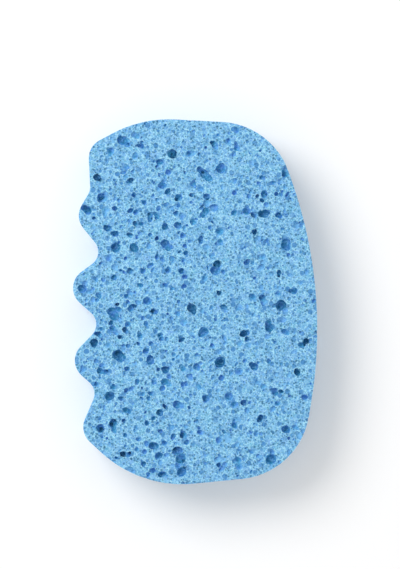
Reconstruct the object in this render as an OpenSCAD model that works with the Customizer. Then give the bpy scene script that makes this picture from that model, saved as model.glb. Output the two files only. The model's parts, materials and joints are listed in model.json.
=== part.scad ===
// Cleaning sponge cut in one piece from a block of cellulose foam.
// It lies flat, with the origin at the middle of its base. Length runs along Y and thickness along Z.
// All sizes are in millimetres.
// The finger side, at the left, is a wave of bumps and grips. The other long side is one shallow arc.

/* [Block] */
// Length between the two ends
sponge_l = 146; // [124:1:176]
// Width from the line of the bumps to the widest point of the round side
sponge_w = 97.8; // [82:0.2:118]
// Thickness of the block
thick = 25; // [18:0.5:40]

/* [Finger side] */
// Distance from one bump to the next
bump_pitch = 29; // [24:0.5:32]
// Height of the middle bump above the middle of the length
bump_y = 5.5; // [0:0.5:8]
// Radius of a bump at its crest
bump_r = 8; // [4:0.5:11]
// Radius of a grip at its deepest point
grip_r = 6; // [3:0.5:9]
// Depth of the two middle grips, from the line of the crests
grip_depth = 9.3; // [5:0.1:12]
// Depth of the grip nearest the upper end
upper_grip_depth = 2.8; // [1.5:0.1:6]
// Depth of the grip nearest the lower end
lower_grip_depth = 6.5; // [3:0.1:9]
// Radius of the long arc that the crests lie on
crest_line_r = 280; // [200:5:600]
// Height of the widest point of that arc above the middle of the length
crest_line_y = -2; // [-8:0.5:8]

/* [Ends] */
// Radius of the two corners beside the finger side
lobe_r = 8; // [5:0.5:11]
// Distance from the upper end down to the corner beside the finger side
upper_lobe = 15.5; // [12:0.5:18]
// Distance from the lower end up to the corner beside the finger side
lower_lobe = 22.9; // [19:0.1:28]
// Radius of the shoulder arcs between those corners and the ends
shoulder_r = 48; // [38:1:60]
// Radius of the two corners beside the round side
corner_r = 30; // [15:1:40]
// How far the upper end falls away towards the round side
upper_fall = 1; // [0:0.5:4]
// How far the lower end rises towards the round side
lower_rise = 2; // [0:0.5:4]
// Least straight run between two arcs that bend the same way
straight_run = 6; // [3:0.5:9]

/* [Round side] */
// Radius of the long arc of the round side
side_r = 178; // [120:2:300]
// Height of its widest point above the middle of the length
side_y = -11; // [-16:0.5:10]

/* [Pores] */
// Distance between the large pores of a cut face
pore_pitch = 12.5; // [10:0.5:18]
// Radius of the smallest of the large pores
pore_r_min = 1.2; // [0.8:0.1:1.6]
// Radius of the largest pore
pore_r_max = 2.4; // [1.8:0.1:3]
// Share of the pores that have run together with a second one
twin_share = 0.3; // [0:0.05:1]
// Number that picks one scatter of the pores
pore_seed = 11; // [1:1:99]

/* [Hidden] */
$fn = 36;
half_l = sponge_l / 2;
half_w = sponge_w / 2;
// Longest chord along the outline's arcs, and most turn from one chord to the next
chord = 3;
chord_turn = 9;
// Share of the room between two tips of the wave that their arcs may fill
wave_slack = 0.96;
// Scatter of a pore about the middle of its cell, as a share of the pitch
scatter = 0.3;
// How strongly the mix of pores leans to the small ones, where 1 is an even mix
small_bias = 1.8;
// Depth of a pore's middle below the face, from shallow to deep, as shares of its radius
sink_range = [-0.15, 0.5];
// Place and radius of the second pore of a pair, as shares of the first one's radius
twin_reach = 0.95;
twin_size = 0.75;
twin_spread = twin_reach + twin_size;
// Least distance from a face pore's middle to the edge of the face
rim = 0.6;
// Least wall between a scattered pore and one of the widest pores
pore_wall = 3;
// Depth of the widest pores' middles below the top face, as a share of their radius
wide_sink = 0.15;

// Crests and grips of the finger side from the upper end down, each as [place along Y, depth, bend]
upper_lobe_y = half_l - upper_lobe;
lower_lobe_y = lower_lobe - half_l;
upper_bump_y = bump_y + bump_pitch;
lower_bump_y = bump_y - bump_pitch;
wave = [
    [upper_lobe_y, 0, lobe_r],
    [(upper_lobe_y + upper_bump_y) / 2, upper_grip_depth, -grip_r],
    [upper_bump_y, 0, bump_r],
    [bump_y + bump_pitch / 2, grip_depth, -grip_r],
    [bump_y, 0, bump_r],
    [bump_y - bump_pitch / 2, grip_depth, -grip_r],
    [lower_bump_y, 0, bump_r],
    [(lower_bump_y + lower_lobe_y) / 2, lower_grip_depth, -grip_r],
    [lower_lobe_y, 0, lobe_r]
];

// The finger side's tips lie this far left, and two arcs that meet there have room for this sum of radii
function crest_x(y) = crest_line_r - half_w - sqrt(pow(crest_line_r, 2) - pow(y - crest_line_y, 2));
function tip(w) = [crest_x(w[0]) + w[1], w[0]];
function room(a, b) = pow(norm(a - b), 2) / (2 * abs(a.x - b.x));
wave_room = min([for (i = [1 : len(wave) - 1]) room(tip(wave[i - 1]), tip(wave[i]))]);
wave_fit = min(1, wave_slack * wave_room / (max(bump_r, lobe_r) + grip_r));

// An outline circle is [x, y, radius], and the radius is negative where the outline is hollow
function wave_circle(w) = [tip(w).x + w[2] * wave_fit, w[0], w[2] * wave_fit];
wave_circles = [for (w = wave) wave_circle(w)];
side_circle = [half_w - side_r, side_y, side_r];

// Middle of a circle at height y that is blended into another by the straight run
function blend_x(from, y, r) = from.x + sqrt(pow(norm([abs(from[2]) - r, straight_run]), 2) - pow(y - from.y, 2));
function shoulder_circle(lobe, y) = [blend_x(lobe, y, shoulder_r), y, shoulder_r];
function corner_circle(y) = [blend_x(side_circle, y, corner_r), y, corner_r];
circles = concat(
    [shoulder_circle(wave_circles[0], half_l - shoulder_r)],
    wave_circles,
    [shoulder_circle(wave_circles[len(wave) - 1], shoulder_r - half_l)],
    [corner_circle(corner_r + lower_rise - half_l)],
    [side_circle],
    [corner_circle(half_l - corner_r - upper_fall)]
);

// Direction that the outline faces on its straight run from circle a to circle b. Where one circle holds
// the other there is no such run, and they join where they come nearest.
function lean(a, b) = acos(max(-1, min(1, (a[2] - b[2]) / norm([b.x - a.x, b.y - a.y]))));
function facing(a, b) = atan2(b.y - a.y, b.x - a.x) - lean(a, b);
function wrap(turn) = turn - 360 * round(turn / 360);
function arc_points(c, start, sweep) =
    let (steps = max(ceil(abs(sweep) / chord_turn), ceil(abs(c[2] * sweep) * PI / 180 / chord)))
    [for (k = [0 : steps]) let (a = start + sweep * k / steps) [c.x, c.y] + c[2] * [cos(a), sin(a)]];
count = len(circles);
outline = [
    for (i = [0 : count - 1])
    let (
        before = circles[(i + count - 1) % count],
        after = circles[(i + 1) % count],
        start = facing(before, circles[i]),
        sweep = wrap(facing(circles[i], after) - start)
    )
    each arc_points(circles[i], start, sweep)
];

// Walking round the outline: its corners, the length walked at each, and the place after a length
corners = len(outline);
function corner_at(i) = outline[i % corners];
walked = [
    for (i = 0, sum = 0; i <= corners; sum = sum + norm(corner_at(i + 1) - corner_at(i)), i = i + 1) sum
];
function edge_after(d) = [for (i = [0 : corners - 1]) if (walked[i] <= d && d < walked[i + 1]) i][0];
function inward(i) = let (e = corner_at(i + 1) - corner_at(i)) [-e.y, e.x] / norm(e);
function place_after(d, depth) =
    let (i = edge_after(d), e = corner_at(i + 1) - corner_at(i))
    corner_at(i) + e * (d - walked[i]) / norm(e) + inward(i) * depth;

// Is the point inside the outline, and how far is it from its nearest edge
function crosses(p, a, b) = (a.y > p.y) != (b.y > p.y) && p.x < a.x + (b.x - a.x) * (p.y - a.y) / (b.y - a.y);
function inside(p) = len([for (i = [0 : corners - 1]) if (crosses(p, corner_at(i), corner_at(i + 1))) i]) % 2 == 1;
function gap_to(p, a, b) = norm(p - a - (b - a) * max(0, min(1, (p - a) * (b - a) / pow(norm(b - a), 2))));
function edge_gap(p) = min([for (i = [0 : corners - 1]) gap_to(p, corner_at(i), corner_at(i + 1))]);

// Chance from 0 to 1 for each choice about a pore: two for its place, then size, sink, side and twin
draws = 6;
function chances(n, seed) = let (u = rands(0, 1, draws * n, seed)) [
    for (k = [0 : n - 1]) [for (m = [0 : draws - 1]) u[draws * k + m]]
];
function about(cell, u) = cell + scatter * (2 * u - 1);

// A pore is [middle, radius, turn of its pole], and its pole faces straight out of the face that it opens.
// Its twin lies beside it in the direction given.
function pore_r(u) = pore_r_min + (pore_r_max - pore_r_min) * pow(u, small_bias);
function sink(u) = sink_range[0] + (sink_range[1] - sink_range[0]) * u;
function pore(c, r, turn, side, u) =
    u < twin_share ? [[c, r, turn], [c + side * twin_reach * r, twin_size * r, turn]] : [[c, r, turn]];

// The widest pores of the top face, as [x, y, radius]. Two that overlap have run together.
wide_pores = [
    [-37.6, 41.5, 1.7], [-6.4, 41.9, 1.4], [4.8, 41.9, 1.3], [28, 43.1, 1.6],
    [-26.2, 36.3, 1.2], [-23.8, 35.5, 1.3], [-17.8, 34.5, 1.4], [-17.8, 33, 1.3], [4.4, 36, 1.5], [3.2, 35, 1.2],
    [28, 35.3, 1.9], [33.6, 34.6, 1.5], [-12.2, 30.1, 1.4], [-6.8, 30.5, 1.4],
    [-34.4, 29.5, 1.5], [-32, 27.2, 1.5], [-11.8, 23.3, 1.9], [-10.6, 21.9, 1.6], [-31.6, 21.7, 2.1], [-24.6, 21.5, 1.8],
    [-5.6, 12.5, 1.5], [-21.6, 6.9, 1.2], [-45, 5.3, 1.8], [-25.4, -2.3, 1.4], [-16.8, -3.5, 1.3], [-15.6, -4.1, 1.2],
    [-33.2, -4.1, 1.6], [-32.4, -6, 1.6], [-22.2, -13.7, 1.2], [-14.2, -13.2, 1.2], [-13.4, -15, 1.3],
    [-30.9, -21, 2.4], [-29.9, -22.2, 2], [-17.8, -23.3, 1.9], [-38, -27.7, 1.5], [-36.2, -27.8, 1.4], [-27.2, -27, 1.2],
    [-5, -33.1, 1.2], [-3.6, -32.5, 1], [-34, -37.7, 1.9], [-7.2, -41.1, 1.5], [-27.6, -43.5, 1.3], [-26.4, -43.8, 1.2],
    [-14.4, -44.1, 1.4], [-32.8, -48.7, 1.8], [-38.2, -50.7, 1.7], [-4.6, -53.3, 1.5],
    [-16.4, -57.5, 1.7], [-20.2, -59.8, 1.2], [-28.4, -60.8, 1.4], [-26.6, -61.2, 1.3], [-14.6, -61.5, 1.5],
    [-6.9, -59.9, 1.9], [-5.7, -62.6, 1.9], [-20.4, -65, 1.2], [-5.6, -67.9, 1.8], [-13.2, -68.9, 1.6]
];

// Is the point on the face, with room for this radius within the length and the width
function on_face(p, r) =
    inside(p) && edge_gap(p) > rim && abs(p.x) + r < half_w && abs(p.y) + r < half_l;
wide_on_face = [for (w = wide_pores) if (on_face([w.x, w.y], w[2])) w];

// The other pores of a face lie in the cells of staggered rows, clear of the pores in taken.
// The top face has up = 1 and the base has up = -1.
rows = ceil(half_l / pore_pitch);
columns = ceil(half_w / pore_pitch);
cells = [for (j = [-rows : rows]) for (i = [-columns : columns]) [i + abs(j % 2) / 2, j]];
function in_cell(cell, u) = [about(cell.x, u[0]), about(cell.y, u[1])] * pore_pitch;
function clear_of(p, r, taken) = len([for (w = taken) if (norm(p - [w.x, w.y]) < w[2] + r + pore_wall) w]) == 0;
function face_pores(z, up, taken) =
    let (chance = chances(len(cells), pore_seed + up))
    [
        for (k = [0 : len(cells) - 1])
        let (u = chance[k], p = in_cell(cells[k], u), r = pore_r(u[2]))
        let (side = [cos(360 * u[4]), sin(360 * u[4]), 0])
        if (on_face(p, twin_spread * r) && clear_of(p, r, taken))
        each pore([p.x, p.y, z - up * sink(u[3]) * r], r, [0, 0, 0], side, u[5])
    ];
top_pores = concat(
    [for (w = wide_on_face) [[w.x, w.y, thick - wide_sink * w[2]], w[2], [0, 0, 0]]],
    face_pores(thick, 1, wide_on_face)
);
base_pores = face_pores(0, -1, []);

// The cells of the wall are rings round the block
girth = walked[corners];
rings = max(1, round(thick / pore_pitch));
wall_cells = floor(girth / pore_pitch);
function wall_pores(ring) =
    let (chance = chances(wall_cells, pore_seed + 2 + ring))
    [
        for (k = [0 : wall_cells - 1])
        let (u = chance[k], r = pore_r(u[2]), d = girth * about(k + 0.5, u[0]) / wall_cells)
        let (p = place_after(d, sink(u[3]) * r), z = thick * about(ring + 0.5, u[1]) / rings)
        let (in = inward(edge_after(d)), side = [in.y, -in.x, 0])
        each pore([p.x, p.y, z], r, [0, 90, 180 + atan2(in.y, in.x)], side, u[5])
    ];
pores = concat(top_pores, base_pores, [for (ring = [0 : rings - 1]) each wall_pores(ring)]);

// The sponge: the outline at full thickness, less every large pore that its faces cut open
module sponge() {
    color("#7cb9e5")
        difference() {
            linear_extrude(thick) polygon(outline);
            for (p = pores) translate(p[0]) rotate(p[2]) sphere(p[1]);
        }
}

sponge();
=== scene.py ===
import json
import math

import bpy
import numpy as np
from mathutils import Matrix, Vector, noise
from mathutils.bvhtree import BVHTree
from mathutils.kdtree import KDTree

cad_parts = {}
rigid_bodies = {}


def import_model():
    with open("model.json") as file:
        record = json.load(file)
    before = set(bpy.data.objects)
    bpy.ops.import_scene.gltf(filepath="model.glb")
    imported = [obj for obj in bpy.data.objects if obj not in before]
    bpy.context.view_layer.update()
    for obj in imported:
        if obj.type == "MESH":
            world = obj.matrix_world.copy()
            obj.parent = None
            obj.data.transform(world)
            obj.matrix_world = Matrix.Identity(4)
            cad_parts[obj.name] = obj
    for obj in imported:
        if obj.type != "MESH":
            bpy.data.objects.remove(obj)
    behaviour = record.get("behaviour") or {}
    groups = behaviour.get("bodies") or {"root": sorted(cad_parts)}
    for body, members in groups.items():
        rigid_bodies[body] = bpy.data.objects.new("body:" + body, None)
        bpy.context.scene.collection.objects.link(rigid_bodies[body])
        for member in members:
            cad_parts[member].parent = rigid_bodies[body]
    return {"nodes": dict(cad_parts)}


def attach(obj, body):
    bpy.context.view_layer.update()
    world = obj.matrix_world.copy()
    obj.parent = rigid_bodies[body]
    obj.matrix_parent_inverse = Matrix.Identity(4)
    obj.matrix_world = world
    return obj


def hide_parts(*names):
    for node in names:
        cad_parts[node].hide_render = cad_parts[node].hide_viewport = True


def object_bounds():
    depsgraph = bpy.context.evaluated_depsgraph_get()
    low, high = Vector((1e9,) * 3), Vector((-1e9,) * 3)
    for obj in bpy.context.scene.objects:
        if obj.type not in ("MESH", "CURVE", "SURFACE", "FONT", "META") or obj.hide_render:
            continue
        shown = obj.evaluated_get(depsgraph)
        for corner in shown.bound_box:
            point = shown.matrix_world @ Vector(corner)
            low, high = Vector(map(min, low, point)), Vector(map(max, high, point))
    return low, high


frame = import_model()
cad_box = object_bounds()

# Sponge: one block of dyed cellulose foam, sawn flat from a big slab and die-cut to its outline.
# The cuts open bubbles of every size, so all its faces are pitted and its edges are nibbled.
# It is one piece, and nothing is fixed to it. Sizes are in millimetres, and MM turns them to metres.
MM = 0.001
THICK = cad_box[1][2] / MM
SAME_POINT = 0.002
CUT_FACE, PORE_WALL = 0, 1
rng = np.random.default_rng(7)
noise.seed_set(7)

bpy.ops.object.select_all(action="DESELECT")
sponge = bpy.data.objects.new("sponge_foam", frame["nodes"]["sponge"].data.copy())
bpy.context.scene.collection.objects.link(sponge)
bpy.context.view_layer.objects.active = sponge
sponge.select_set(True)
bpy.ops.object.mode_set(mode="EDIT")
bpy.ops.mesh.select_all(action="SELECT")
bpy.ops.mesh.remove_doubles(threshold=SAME_POINT * MM)
bpy.ops.object.mode_set(mode="OBJECT")


def triangles(mesh):
    """The three corners, normals and areas of a mesh's triangles, in millimetres."""
    corner = np.zeros(len(mesh.vertices) * 3)
    mesh.vertices.foreach_get("co", corner)
    index = np.array([p.vertices[:3] for p in mesh.polygons])
    a, b, c = (corner.reshape(-1, 3)[index] / MM).transpose(1, 0, 2)
    cross = np.cross(b - a, c - a)
    length = np.linalg.norm(cross, axis=1)
    return a, b, c, cross / np.maximum(length, 1e-9)[:, None], length / 2


# The saw and the die leave the top, the base and the broad upright planes, and every other facet is a
# pore's wall. Facets lie in one plane if their normals and distances round to the same steps.
LEVEL_SLACK = 0.01
BROAD_AREA = 4
NORMAL_STEPS, DISTANCE_STEPS = 200, 20
a, b, c, normal, area = triangles(sponge.data)
level = (np.abs(normal[:, 2]) > 0.999) & ((a[:, 2] < LEVEL_SLACK) | (a[:, 2] > THICK - LEVEL_SLACK))
upright = np.abs(normal[:, 2]) < 1e-4
plane = np.column_stack([normal[:, :2] * NORMAL_STEPS, (a * normal).sum(1) * DISTANCE_STEPS, ~upright])
_, plane_of = np.unique(np.round(plane).astype(int), axis=0, return_inverse=True)
plane_of = plane_of.ravel()
on_side = upright & (np.bincount(plane_of, area)[plane_of] > BROAD_AREA)
on_top = level & (a[:, 2] > THICK / 2)
sponge.data.materials.clear()
for name in ("cellulose_foam_cut", "cellulose_foam_pore"):
    sponge.data.materials.append(bpy.data.materials.new(name))
sponge.data.polygons.foreach_set("material_index", np.where(level | on_side, CUT_FACE, PORE_WALL))

# The outline is the edges between the top, which counts 1, and the sides, which count 2.
met = {}
for face, top, side in zip(sponge.data.polygons, on_top, on_side):
    if top or side:
        for key in face.edge_keys:
            met[key] = met.get(key, 0) + (1 if top else 2)
outline = np.array([[sponge.data.vertices[i].co[:2] for i in key] for key in met if met[key] == 3]) / MM


def outline_gap(points):
    """How far in from the outline each point lies."""
    gap = np.full(len(points), np.inf)
    for start, along in zip(outline[:, 0], outline[:, 1] - outline[:, 0]):
        share = np.clip((points - start) @ along / (along @ along), 0, 1)
        gap = np.minimum(gap, np.linalg.norm(points - start - share[:, None] * along, axis=1))
    return gap


# The pores' walls keep this share of their facets, which leaves room for the narrower pores.
KEPT_FACETS = 0.14
bpy.ops.object.mode_set(mode="EDIT")
bpy.ops.mesh.select_all(action="DESELECT")
bpy.context.tool_settings.mesh_select_mode = (False, False, True)
sponge.active_material_index = PORE_WALL
bpy.ops.object.material_slot_select()
bpy.ops.mesh.decimate(ratio=KEPT_FACETS)
bpy.ops.mesh.select_all(action="SELECT")
bpy.ops.mesh.quads_convert_to_tris()
bpy.ops.object.mode_set(mode="OBJECT")

# Real bubbles are never round. A drift sideways, the same at every height, pulls their rims out of true and
# dies away over CLEAN_EDGE towards the outline, which the die has cut clean. A drift up and down dies away
# towards the top and base. Each has a span and a pull.
BROAD_SPAN, BROAD_PULL = 4.2, 0.95
CLOSE_SPAN, CLOSE_PULL = 1.4, 0.22
LIFT_SPAN, LIFT_PULL = 2.4, 0.5
CLEAN_EDGE = 4
corner = np.zeros(len(sponge.data.vertices) * 3)
sponge.data.vertices.foreach_get("co", corner)
freedom = np.clip(outline_gap(corner.reshape(-1, 3)[:, :2] / MM) / CLEAN_EDGE, 0, 1)
for vertex, free in zip(sponge.data.vertices, freedom):
    flat = Vector((vertex.co.x, vertex.co.y, 0))
    broad = noise.noise_vector(flat / (BROAD_SPAN * MM)) * BROAD_PULL
    drift = broad + noise.noise_vector(flat / (CLOSE_SPAN * MM)) * CLOSE_PULL
    vertex.co.x += drift.x * free * MM
    vertex.co.y += drift.y * free * MM
    space = min(vertex.co.z, THICK * MM - vertex.co.z)
    vertex.co.z += noise.noise(vertex.co / (LIFT_SPAN * MM)) * LIFT_PULL * min(MM, space)

# Narrower pores are cut at random all over the block: [least radius, most, number per mm2, fineness].
PORE_SIZES = [(1.0, 1.6, 0.019, 2), (0.5, 1.0, 0.079, 1)]
# Where the photograph shows the top, narrow pores stand in their own places: [x, y, radius of the mouth].
PLACED_PORES = [
    (-36, 43.4, 1), (-32, 37, 1), (-24.4, 42.6, 1), (-16.8, 42.2, 1), (-14.4, 37.4, 1),
    (-10.8, 43.8, 1), (-6.8, 38.6, 1), (-1.6, 42.6, 1.2), (2.8, 37.8, 1), (15.6, 43.4, 1),
    (21.6, 42.2, 1), (24.8, 42.2, 1), (26.8, 40.2, 1), (32.8, 43, 1), (-36, 35, 1),
    (-24, 31.4, 1.2), (-15.2, 33.8, 1), (-7.6, 35.4, 1), (24, 35.8, 1), (-26, 26.6, 1),
    (-22, 27.4, 1), (-18, 26.6, 1), (-15.2, 25.4, 1), (-4.8, 26.6, 1), (-4, 22.6, 1),
    (-27.6, 17.4, 1), (-26, 12.6, 1), (-16.8, 13, 1), (-13.2, 17, 1), (-11.2, 12.6, 1),
    (-9.2, 17.4, 1.2), (-4.8, 16.6, 1), (-3.6, 19.4, 1), (-12, 6.6, 1), (-9.2, 5.4, 1),
    (-4.4, 6.2, 1), (-4, 10.2, 1), (-31.2, -1, 1), (-27.6, 2.2, 1), (-26.8, -0.2, 1),
    (-22.8, -0.2, 1.2), (-19.2, 0.6, 1.2), (-33.6, -8.6, 1), (-29.2, -7.4, 1.2), (-26.8, -9, 1),
    (-20.8, -6.6, 1), (-17.6, -6.6, 1), (-9.6, -6.6, 1), (-6.8, -4.6, 1.2), (-30, -14.2, 1),
    (-28.8, -17.8, 1), (-22.8, -16.6, 1), (-19.6, -19.8, 1.2), (-17.6, -17, 1), (-6, -14.2, 1),
    (-14.4, -27, 1), (-8.4, -21, 1), (-32.8, -34.2, 1.2), (-27.6, -35.4, 1), (-25.6, -34.6, 1),
    (-23.2, -31.8, 1.2), (-16.4, -32.2, 1), (-13.2, -33.4, 1), (-10.4, -29.8, 1.2), (-29.6, -38.6, 1),
    (-20.8, -37, 1), (-18.8, -38.6, 1), (-17.6, -36.6, 1), (-12, -42.2, 1), (-4.8, -39, 1),
    (-28.4, -47.8, 1), (-19.2, -48.6, 1), (-14, -51.8, 1), (-9.2, -50.2, 1), (-3.6, -49.8, 1.2),
    (-28, -53.4, 1), (-23.2, -59, 1), (-12, -56.6, 1.2), (-3.6, -56.2, 1), (-16.8, -67.4, 1),
]
# How far a bubble's middle lies under the face, as a share of its radius, for the random and the placed
# ones. Below zero it lies above the face, so the cut has left only the bubble's floor.
RANDOM_SINK, PLACED_SINK = (-0.8, 0.2), (-0.2, 0.5)
# Narrow bubbles outnumber wide ones by this power. Each bubble is stretched, and bulged by waves, at random,
# and REACH is how far past its stretched radius the bulges may go.
MORE_NARROW = 1.6
RANDOM_STRETCH, PLACED_STRETCH = 0.22, 0.16
BULGE, BULGE_WAVES = 0.2, 1.6
REACH = 1.1


def bubble(fineness):
    """A unit ball as points and faces."""
    bpy.ops.object.select_all(action="DESELECT")
    bpy.ops.mesh.primitive_ico_sphere_add(subdivisions=fineness, radius=1)
    ball = bpy.context.object
    points = np.array([v.co for v in ball.data.vertices])
    faces = np.array([p.vertices for p in ball.data.polygons])
    bpy.data.objects.remove(ball)
    return points, faces


def turned(count):
    """Random rotations."""
    q = rng.normal(size=(count, 4))
    w, x, y, z = (q / np.linalg.norm(q, axis=1)[:, None]).T
    return np.array([
        [1 - 2 * (y * y + z * z), 2 * (x * y - w * z), 2 * (x * z + w * y)],
        [2 * (x * y + w * z), 1 - 2 * (x * x + z * z), 2 * (y * z - w * x)],
        [2 * (x * z - w * y), 2 * (y * z + w * x), 1 - 2 * (x * x + y * y)],
    ]).transpose(2, 0, 1)


def lumpy(unit, waves):
    """The points of a unit ball, pushed in and out by a few waves."""
    return unit * (1 + BULGE * np.tanh(np.sin(unit @ waves * BULGE_WAVES).sum(1)))[:, None]


a, b, c, normal, area = triangles(sponge.data)
cutters = []
for least, most, density, fineness in PORE_SIZES:
    count = int(area.sum() * density)
    pick = rng.choice(len(area), count, p=area / area.sum())
    u = np.sqrt(rng.random((count, 1)))
    v = rng.random((count, 1))
    place = a[pick] * (1 - u) + b[pick] * u * (1 - v) + c[pick] * u * v
    radius = least + (most - least) * rng.random(count) ** MORE_NARROW
    stretch = np.exp(rng.normal(0, RANDOM_STRETCH, (count, 3))).clip(0.6, 1.6)
    sink = rng.uniform(*RANDOM_SINK, count) * radius
    middle = place - normal[pick] * sink[:, None]
    unit, faces = bubble(fineness)
    turn = turned(count)
    waves = rng.normal(size=(count, 6, 3))
    for i in range(count):
        points = (lumpy(unit, waves[i].T) * stretch[i]) @ turn[i].T * radius[i] + middle[i]
        cutters.append((middle[i], radius[i] * stretch[i].max() * REACH, points, faces))
unit, faces = bubble(2)
for (x, y, mouth), turn in zip(PLACED_PORES, turned(len(PLACED_PORES))):
    sink = rng.uniform(*PLACED_SINK)
    radius = mouth / math.sqrt(1 - sink ** 2)
    middle = np.array([x, y, THICK - sink * radius])
    waves = rng.normal(size=(3, 6))
    stretch = np.exp(rng.normal(0, PLACED_STRETCH, 3))
    points = (lumpy(unit, waves) * stretch) @ turn.T * radius + middle
    cutters.append((middle, radius * stretch.max() * REACH, points, faces))

# The cuts also open small bubbles all along the upper and lower edges, which nibbles them.
EDGE_PORES = 220
EDGE_RADIUS = (0.35, 0.8)
EDGE_STRAY, EDGE_STRETCH = 0.15, 0.25
along = outline[:, 1] - outline[:, 0]
length = np.linalg.norm(along, axis=1)
pick = rng.choice(len(outline), EDGE_PORES, p=length / length.sum())
spot = outline[pick, 0] + rng.random((EDGE_PORES, 1)) * along[pick]
unit, faces = bubble(1)
for (x, y), turn in zip(spot, turned(EDGE_PORES)):
    radius = rng.uniform(*EDGE_RADIUS)
    middle = np.array([x, y, rng.choice([0.0, THICK])]) + rng.normal(0, EDGE_STRAY, 3)
    stretch = np.exp(rng.normal(0, EDGE_STRETCH, 3))
    cutters.append((middle, radius * stretch.max(), (unit * stretch) @ turn.T * radius + middle, faces))

# Bubbles that touch are cut in different passes, where they run together. A grid of cells finds the near
# ones, and a bubble that no pass has room for is left out.
PASSES = 4
CELL = 4.0
NEIGHBOURS = [(i, j, k) for i in (-1, 0, 1) for j in (-1, 0, 1) for k in (-1, 0, 1)]
batches = [[] for _ in range(PASSES)]
grids = [{} for _ in range(PASSES)]
for cutter in cutters:
    middle, reach = cutter[:2]
    key = tuple((middle // CELL).astype(int))
    around = [(key[0] + i, key[1] + j, key[2] + k) for i, j, k in NEIGHBOURS]
    for batch, grid in zip(batches, grids):
        near = [n for cell in around for n in grid.get(cell, ())]
        if all(np.linalg.norm(n[0] - middle) > n[1] + reach for n in near):
            batch.append(cutter)
            grid.setdefault(key, []).append((middle, reach))
            break

for batch in batches:
    points, faces, start = [], [], 0
    for _, _, ball_points, ball_faces in batch:
        points.append(ball_points)
        faces.append(ball_faces + start)
        start += len(ball_points)
    mesh = bpy.data.meshes.new("bubbles")
    mesh.from_pydata(np.concatenate(points) * MM, [], np.concatenate(faces).tolist())
    for material in sponge.data.materials:
        mesh.materials.append(material)
    mesh.polygons.foreach_set("material_index", np.full(len(mesh.polygons), PORE_WALL))
    bubbles = bpy.data.objects.new("bubbles", mesh)
    bpy.context.scene.collection.objects.link(bubbles)
    bpy.context.view_layer.objects.active = sponge
    cut = sponge.modifiers.new("cut", "BOOLEAN")
    cut.operation = "DIFFERENCE"
    cut.solver = "MANIFOLD"
    cut.object = bubbles
    bpy.ops.object.modifier_apply(modifier=cut.name)
    bpy.data.objects.remove(bubbles)

# Crumbs that bubbles cut quite free of the block fall out.
bpy.ops.object.select_all(action="DESELECT")
sponge.select_set(True)
bpy.context.view_layer.objects.active = sponge
bpy.context.tool_settings.mesh_select_mode = (True, False, False)
bpy.ops.object.mode_set(mode="EDIT")
bpy.ops.mesh.select_all(action="DESELECT")
bpy.ops.object.mode_set(mode="OBJECT")
max(sponge.data.vertices, key=lambda vertex: vertex.co.x).select = True
bpy.ops.object.mode_set(mode="EDIT")
bpy.ops.mesh.select_linked()
bpy.ops.mesh.select_all(action="INVERT")
bpy.ops.mesh.delete(type="VERT")
bpy.ops.object.mode_set(mode="OBJECT")

# The pores' walls are smooth and keep a crisp rim. The cut faces stay flat.
CRISP_ANGLE = math.radians(40)
bpy.ops.object.shade_smooth_by_angle(angle=CRISP_ANGLE)
kind = np.zeros(len(sponge.data.polygons), int)
sponge.data.polygons.foreach_get("material_index", kind)
sponge.data.polygons.foreach_set("use_smooth", kind == PORE_WALL)

# How deep and how enclosed each point of a pore's wall lies, from 0 at its rim to 1 at FULL_DEPTH below it, less
# where some of a fan of rays still see out; it sets the painted shade on the pores' walls. The fan is rings of
# rays: [lean from the wall's normal, number].
FULL_DEPTH = 2.0
RAY_START, RAY_LENGTH = 0.03, 5
FAN_RINGS = ((0.1, 1), (0.5, 5), (1.0, 7))
facing = [Vector() for _ in sponge.data.vertices]
rim = np.zeros(len(facing), bool)
for face in sponge.data.polygons:
    if face.material_index == CUT_FACE:
        rim[face.vertices] = True
        continue
    for i in face.vertices:
        facing[i] += face.normal * face.area
brink = KDTree(int(rim.sum()))
for i in np.flatnonzero(rim):
    brink.insert(sponge.data.vertices[i].co, int(i))
brink.balance()
solid = BVHTree.FromPolygons([v.co for v in sponge.data.vertices], [p.vertices for p in sponge.data.polygons])
fan = [Vector((math.sin(lean) * math.cos(way), math.sin(lean) * math.sin(way), math.cos(lean)))
       for lean, count in FAN_RINGS for way in (2 * math.pi * k / count + lean for k in range(count))]
shade_depth = np.zeros(len(facing), np.float32)
for i in np.flatnonzero(~rim):
    vertex, outward = sponge.data.vertices[i], facing[i]
    aim = outward.to_track_quat("Z", "Y")
    start = vertex.co + outward.normalized() * RAY_START * MM
    hidden = sum(solid.ray_cast(start, aim @ ray, RAY_LENGTH * MM)[0] is not None for ray in fan) / len(fan)
    shade_depth[i] = math.sqrt(hidden) * min(1, brink.find(vertex.co)[2] / (FULL_DEPTH * MM))
sponge.data.attributes.new("pore_shade_depth", "FLOAT", "POINT").data.foreach_set("value", shade_depth)


def linear(hex_colour):
    """An sRGB hex colour as the linear values that a shader takes."""
    parts = [int(hex_colour[i:i + 2], 16) / 255 for i in (1, 3, 5)]
    return [*(p / 12.92 if p <= 0.04045 else ((p + 0.055) / 1.055) ** 2.4 for p in parts), 1]


def add(tree, kind, links=(), **settings):
    """Adds one node with its settings, and links the given outputs to its inputs."""
    node = tree.nodes.new(kind)
    for name, value in settings.items():
        if name.startswith("in_"):
            node.inputs[int(name[3:])].default_value = value
        else:
            setattr(node, name, value)
    for socket, output in links:
        tree.links.new(output, node.inputs[socket])
    return node
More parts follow.
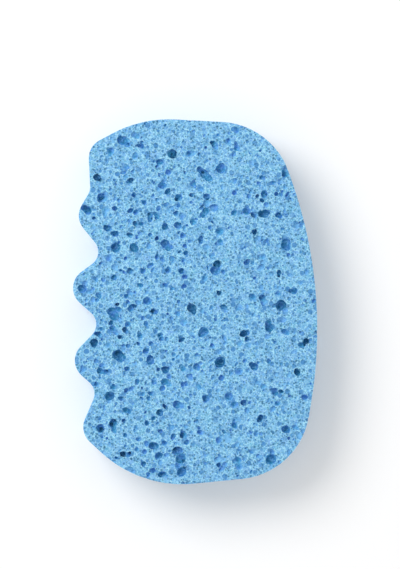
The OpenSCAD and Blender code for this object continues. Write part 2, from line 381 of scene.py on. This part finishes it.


# Regenerated cellulose foam, cut dry: matt, a little translucent, and mottled. The pits of the smallest cut
# bubbles get painted shade, and the thin walls between them get a paler blue, partly a grain of their own and
# partly painted highlight. The real walls and the smallest pits are 0.1 to 0.3 mm wide, less than the 0.4 mm of
# one pixel of the render, so both are drawn two to three times as coarse, which is as fine as they still show.
PALE_WALL_AND_HIGHLIGHT, SHALLOW_DENT_SHADE, DEEP_DENT_SHADE = "#a9e3fe", "#468dcd", "#2e7098"
DYED_BLUE, GREENER_BLUE, DEEPER_BLUE = "#67ade1", "#5eb2cf", "#74a8ee"
WALL_SPACING, GRAIN, MOTTLE = 1.05, 0.65, 3
WOBBLE_SPAN, WOBBLE_PUSH = 0.9, 0.55
foam = sponge.data.materials["cellulose_foam_cut"]
foam.use_nodes = True
tree = foam.node_tree
shader = tree.nodes["Principled BSDF"]
shader.inputs["Roughness"].default_value = 0.85
shader.inputs["IOR"].default_value = 1.47
shader.inputs["Subsurface Weight"].default_value = 0.35
shader.inputs["Subsurface Radius"].default_value = (0.8, 0.9, 1.0)
shader.inputs["Subsurface Scale"].default_value = 1.0 * MM
place = add(tree, "ShaderNodeTexCoord").outputs["Object"]
wobble = add(tree, "ShaderNodeTexNoise", [("Vector", place)], in_2=1 / (WOBBLE_SPAN * MM), in_3=1.0)
centred = add(tree, "ShaderNodeVectorMath", [(0, wobble.outputs["Color"])], operation="SUBTRACT",
              in_1=(0.5, 0.5, 0.5))
push = add(tree, "ShaderNodeVectorMath", [(0, centred.outputs[0])], operation="SCALE")
push.inputs["Scale"].default_value = WOBBLE_PUSH * MM
warped = add(tree, "ShaderNodeVectorMath", [(0, place), (1, push.outputs[0])], operation="ADD").outputs[0]


def shaded_dents(spacing, floor, mouth, share=1.0):
    """Painted shade in small cut bubbles at that spacing, in that share of the cells, and a painted highlight on
    the rims round them.

    A dent's floor and mouth are radii as shares of the spacing, and each dent has its own strength.
    """
    cell = add(tree, "ShaderNodeTexVoronoi", [("Vector", warped)], in_2=1 / (spacing * MM))
    lot = add(tree, "ShaderNodeSeparateColor", [("Color", cell.outputs["Color"])])
    strength = add(tree, "ShaderNodeMapRange", [("Value", lot.outputs[0])], in_1=1 - share)
    dent = add(tree, "ShaderNodeMapRange", [("Value", cell.outputs["Distance"])],
               interpolation_type="SMOOTHSTEP", in_1=floor, in_2=mouth, in_3=1.0, in_4=0.0)
    disc = add(tree, "ShaderNodeMapRange", [("Value", cell.outputs["Distance"])],
               interpolation_type="SMOOTHSTEP", in_1=mouth - 0.04, in_2=mouth + 0.12, in_3=1.0, in_4=0.0)
    rim_highlight = add(tree, "ShaderNodeMath", [(0, disc.outputs[0]), (1, dent.outputs[0])],
               operation="SUBTRACT", use_clamp=True)
    return [add(tree, "ShaderNodeMath", [(0, part.outputs[0]), (1, strength.outputs[0])],
                operation="MULTIPLY").outputs[0] for part in (dent, rim_highlight)]


# Painted shade in the pits of the small and tiny bubbles, and a painted highlight on the rims of the wide and
# medium ones.
small = shaded_dents(1.5, 0.16, 0.44)[0]
tiny = shaded_dents(0.9, 0.14, 0.54)[0]
wide, wide_rim_highlight = shaded_dents(3.1, 0.28, 0.42)
medium, medium_rim_highlight = shaded_dents(2.1, 0.26, 0.4, share=0.85)

# Painted highlight on the thin walls between the cells and on the rims round the wider dents, with a fine grain
# of the foam's own that breaks them up.
cells = add(tree, "ShaderNodeTexVoronoi", [("Vector", warped)], feature="DISTANCE_TO_EDGE",
            in_2=1 / (WALL_SPACING * MM))
rib = add(tree, "ShaderNodeMapRange", [("Value", cells.outputs["Distance"])],
          in_1=0.02, in_2=0.2, in_3=1.0, in_4=0.0)
grain = add(tree, "ShaderNodeTexNoise", [("Vector", place)], in_2=1 / (GRAIN * MM), in_3=2.0)
rough = add(tree, "ShaderNodeMapRange", [("Value", grain.outputs["Fac"])], in_1=0.42, in_2=0.66).outputs[0]
broken = add(tree, "ShaderNodeMath", [(0, rough)], operation="MULTIPLY_ADD", in_1=0.7, in_2=0.3)
ridge = add(tree, "ShaderNodeMath", [(0, rib.outputs[0]), (1, broken.outputs[0])], operation="MULTIPLY")
fine = add(tree, "ShaderNodeMath", [(0, rough), (2, ridge.outputs[0])], operation="MULTIPLY_ADD",
           in_1=0.5, use_clamp=True)
rim_highlights = add(tree, "ShaderNodeMath", [(0, wide_rim_highlight), (1, medium_rim_highlight)], operation="MAXIMUM")
walls_and_highlight = add(tree, "ShaderNodeMath", [(0, fine.outputs[0]), (1, rim_highlights.outputs[0])], operation="MAXIMUM").outputs[0]

# The dye has taken unevenly, a little greener here and a little deeper there.
mottle = add(tree, "ShaderNodeTexNoise", [("Vector", place)], in_2=1 / (MOTTLE * MM), in_3=2.0)
hue = add(tree, "ShaderNodeSeparateColor", [("Color", mottle.outputs["Color"])])
greener, deeper = [add(tree, "ShaderNodeMapRange", [("Value", hue.outputs[i])],
                       in_1=0.48, in_2=0.75, in_4=0.7).outputs[0] for i in (0, 1)]
ground = add(tree, "ShaderNodeMix", [(0, greener)], data_type="RGBA",
             in_6=linear(DYED_BLUE), in_7=linear(GREENER_BLUE))
dyed = add(tree, "ShaderNodeMix", [(0, deeper), (6, ground.outputs[2])], data_type="RGBA",
           in_7=linear(DEEPER_BLUE))
# The pale blue here is partly the walls' own grain and partly painted highlight.
base = add(tree, "ShaderNodeMix", [(0, walls_and_highlight), (6, dyed.outputs[2])], data_type="RGBA", in_7=linear(PALE_WALL_AND_HIGHLIGHT))

# Painted shade in the dents: faint and pale in the wider, shallow ones, and dark in the narrow, deep ones.
broad_pit_shade = add(tree, "ShaderNodeMath", [(0, wide), (1, medium)], operation="MAXIMUM")
faint = add(tree, "ShaderNodeMath", [(0, broad_pit_shade.outputs[0])], operation="MULTIPLY", in_1=0.95, use_clamp=True)
patch = add(tree, "ShaderNodeMix", [(0, faint.outputs[0]), (6, base.outputs[2])], data_type="RGBA",
            in_7=linear(SHALLOW_DENT_SHADE))
narrow_pit_shade = add(tree, "ShaderNodeMath", [(0, small), (1, tiny)], operation="MAXIMUM")
colour = add(tree, "ShaderNodeMix", [(0, narrow_pit_shade.outputs[0]), (6, patch.outputs[2])], data_type="RGBA",
             in_7=linear(DEEP_DENT_SHADE))
tree.links.new(colour.outputs[2], shader.inputs["Base Color"])
dip = add(tree, "ShaderNodeMath", [(0, broad_pit_shade.outputs[0]), (1, narrow_pit_shade.outputs[0])], operation="ADD")
high = add(tree, "ShaderNodeMath", [(0, walls_and_highlight), (1, dip.outputs[0])], operation="SUBTRACT")
bump = add(tree, "ShaderNodeBump", [("Height", high.outputs[0])])
bump.inputs["Strength"].default_value = 0.8
bump.inputs["Distance"].default_value = 0.14 * MM
tree.links.new(bump.outputs[0], shader.inputs["Normal"])

# Regenerated cellulose foam again, as the skin that grew round each bubble: smoother than the cut, with painted
# shade that turns it a deeper blue the further in and the more enclosed it lies. It is thin and pale in some
# spots and thick and dark in others, drawn about 0.9 mm apart, twice as coarse as real ones, so that they show.
RIM_BLUE, MIDWAY_GREEN, MIDWAY_BLUE, BOTTOM_SHADE_BLUE = "#7cc0ef", "#3d9fce", "#4a8bda", "#0d729c"
THIN_SKIN, THICK_SKIN = "#7cc0ef", "#1464a0"
TONE_SPAN, SPOT_SPAN = 3, 0.9
skin = sponge.data.materials["cellulose_foam_pore"]
skin.use_nodes = True
tree = skin.node_tree
shader = tree.nodes["Principled BSDF"]
shader.inputs["Roughness"].default_value = 0.7
shader.inputs["IOR"].default_value = 1.47
shader.inputs["Subsurface Weight"].default_value = 0.35
shader.inputs["Subsurface Radius"].default_value = (0.8, 0.9, 1.0)
shader.inputs["Subsurface Scale"].default_value = 1.0 * MM
place = add(tree, "ShaderNodeTexCoord").outputs["Object"]
# Painted shade: pale blue at the rim, mid blues midway, and a deep blue where the wall lies deepest and most
# enclosed.
shade_depth = add(tree, "ShaderNodeAttribute", attribute_name="pore_shade_depth").outputs["Fac"]
midway = add(tree, "ShaderNodeMapRange", [("Value", shade_depth)], in_2=0.5)
bottom_shade = add(tree, "ShaderNodeMapRange", [("Value", shade_depth)], in_1=0.45, in_2=0.95)
drift = add(tree, "ShaderNodeTexNoise", [("Vector", place)], in_2=1 / (TONE_SPAN * MM), in_3=1.0)
tone = add(tree, "ShaderNodeMapRange", [("Value", drift.outputs["Fac"])], in_1=0.4, in_2=0.6)
blue = add(tree, "ShaderNodeMix", [(0, tone.outputs[0])], data_type="RGBA",
           in_6=linear(MIDWAY_GREEN), in_7=linear(MIDWAY_BLUE))
wall = add(tree, "ShaderNodeMix", [(0, midway.outputs[0]), (7, blue.outputs[2])], data_type="RGBA",
           in_6=linear(RIM_BLUE))
far = add(tree, "ShaderNodeMix", [(0, bottom_shade.outputs[0]), (6, wall.outputs[2])], data_type="RGBA",
          in_7=linear(BOTTOM_SHADE_BLUE))
spots = add(tree, "ShaderNodeTexNoise", [("Vector", place)], in_2=1 / (SPOT_SPAN * MM), in_3=2.0).outputs["Fac"]
thin = add(tree, "ShaderNodeMapRange", [("Value", spots)], in_1=0.5, in_2=0.68, in_4=0.6)
dense = add(tree, "ShaderNodeMapRange", [("Value", spots)], in_1=0.5, in_2=0.32, in_4=0.45)
paler = add(tree, "ShaderNodeMix", [(0, thin.outputs[0]), (6, far.outputs[2])], data_type="RGBA",
            in_7=linear(THIN_SKIN))
spotted = add(tree, "ShaderNodeMix", [(0, dense.outputs[0]), (6, paler.outputs[2])], data_type="RGBA",
              in_7=linear(THICK_SKIN))
tree.links.new(spotted.outputs[2], shader.inputs["Base Color"])
bump = add(tree, "ShaderNodeBump", [("Height", spots)])
bump.inputs["Strength"].default_value = 0.7
bump.inputs["Distance"].default_value = 0.25 * MM
tree.links.new(bump.outputs[0], shader.inputs["Normal"])

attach(sponge, "root")
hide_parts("sponge")

# Table: a wide pale sheet that the sponge lies on, which is no part of it. It lies a hair under the base,
# so that the two don't share one plane.
TABLE_GAP = 0.02
bpy.ops.object.select_all(action="DESELECT")
bpy.ops.mesh.primitive_plane_add(size=6, location=(0, 0, -TABLE_GAP * MM))
table = bpy.context.object
table.name = "table"

# Matt white card, uncoated: it has no grain and no gloss. Camera, glossy and transmission rays see a little
# light of its own, which makes it near white, and it keeps the shadow.
sheet = bpy.data.materials.new("matt_white_card")
sheet.use_nodes = True
tree = sheet.node_tree
shader = tree.nodes["Principled BSDF"]
shader.inputs["Base Color"].default_value = linear("#f2f2f2")
shader.inputs["Roughness"].default_value = 0.9
rays = add(tree, "ShaderNodeLightPath").outputs
seen = add(tree, "ShaderNodeMath", [(0, rays["Is Camera Ray"]), (1, rays["Is Glossy Ray"])],
           operation="MAXIMUM")
shown = add(tree, "ShaderNodeMath", [(0, seen.outputs[0]), (1, rays["Is Transmission Ray"])],
            operation="MAXIMUM")
lift = add(tree, "ShaderNodeMath", [(0, shown.outputs[0])], operation="MULTIPLY", in_1=0.12)
shader.inputs["Emission Color"].default_value = (1, 1, 1, 1)
tree.links.new(lift.outputs[0], shader.inputs["Emission Strength"])
table.data.materials.append(sheet)

# Light: one wide soft lamp at the upper left, aimed at the sponge, and an even pale sky.
bpy.ops.object.select_all(action="DESELECT")
bpy.ops.object.light_add(type="AREA", location=(-0.9, 0.75, 1.25))
lamp = bpy.context.object
lamp.name = "window_lamp"
lamp.data.shape = "DISK"
lamp.data.size = 1.1
lamp.data.energy = 17
lamp.rotation_euler = (-lamp.location).to_track_quat("-Z", "Y").to_euler()
world = bpy.data.worlds.new("pale_sky")
bpy.context.scene.world = world
world.use_nodes = True
world.node_tree.nodes["Background"].inputs["Color"].default_value = (1, 1, 1, 1)
world.node_tree.nodes["Background"].inputs["Strength"].default_value = 0.66

# Camera: straight above, through a long lens, framed as the photograph is. AIM is the point of the top
# that the picture's middle shows, and FRAME_TALL is what its height covers there.
AIM = (2, 6.9, 25)
FRAME_TALL = 227.6
HEIGHT = 1500
SENSOR = 36
data = bpy.data.cameras.new("above")
data.sensor_fit = "VERTICAL"
data.sensor_height = SENSOR
data.lens = SENSOR * HEIGHT / FRAME_TALL
camera = bpy.data.objects.new("above", data)
camera.location = (AIM[0] * MM, AIM[1] * MM, (AIM[2] + HEIGHT) * MM)
bpy.context.scene.collection.objects.link(camera)
bpy.context.scene.camera = camera
bpy.context.scene.view_settings.view_transform = "Standard"
